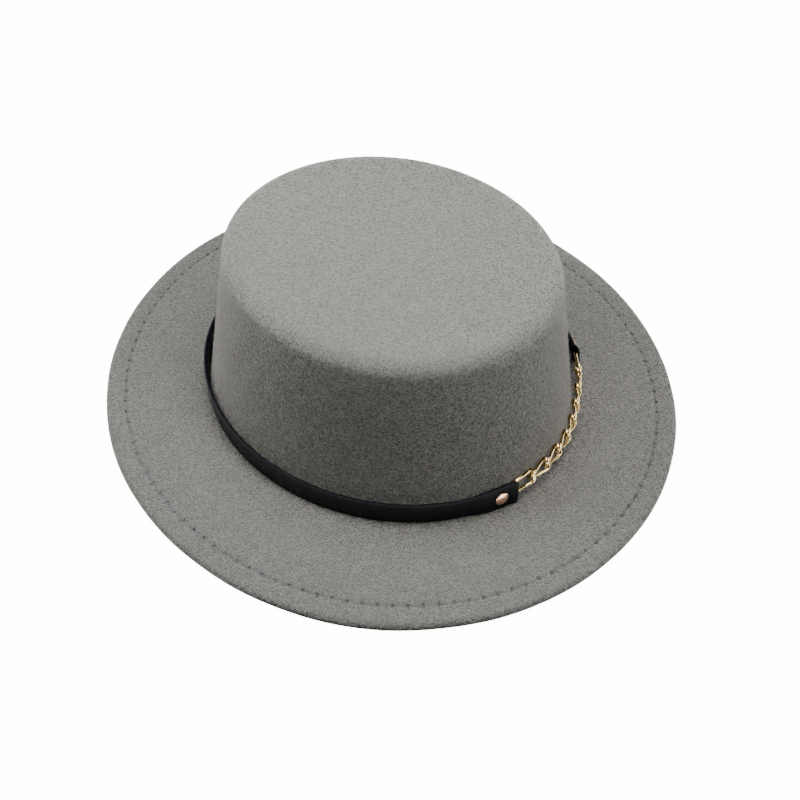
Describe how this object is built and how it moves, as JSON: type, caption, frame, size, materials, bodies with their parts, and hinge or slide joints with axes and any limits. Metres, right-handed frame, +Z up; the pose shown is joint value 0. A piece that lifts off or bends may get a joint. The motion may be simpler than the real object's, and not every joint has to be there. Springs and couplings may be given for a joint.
{
  "type": "flat top fedora",
  "caption": "Grey felt hat with a low flat crown, a wide flat brim with a folded edge, and a black leather strap joined across the front by a gold-coloured curb chain.",
  "frame": {"origin": "middle of the brim's footprint, on the surface the hat stands on", "axes": "+Z up, +Y along the long way of the oval towards the back of the head, +X across it; the chain lies across the front, towards -Y"},
  "size_m": [0.289, 0.307, 0.0978],
  "materials": {
    "grey_felt": "soft brushed wool felt",
    "black_leather": "smooth, slight sheen",
    "copper": "polished copper plate",
    "gold": "polished gold-coloured plate"
  },
  "bodies": {
    "root": {"felt_body": "grey_felt", "strap": "black_leather", "rivet_near": "copper", "rivet_far": "copper", "chain_link_1": "gold", "chain_link_2": "gold", "chain_link_3": "gold", "chain_link_4": "gold", "chain_link_5": "gold", "chain_link_6": "gold", "chain_link_7": "gold", "chain_link_8": "gold", "chain_link_9": "gold"}
  },
  "joints": []
}
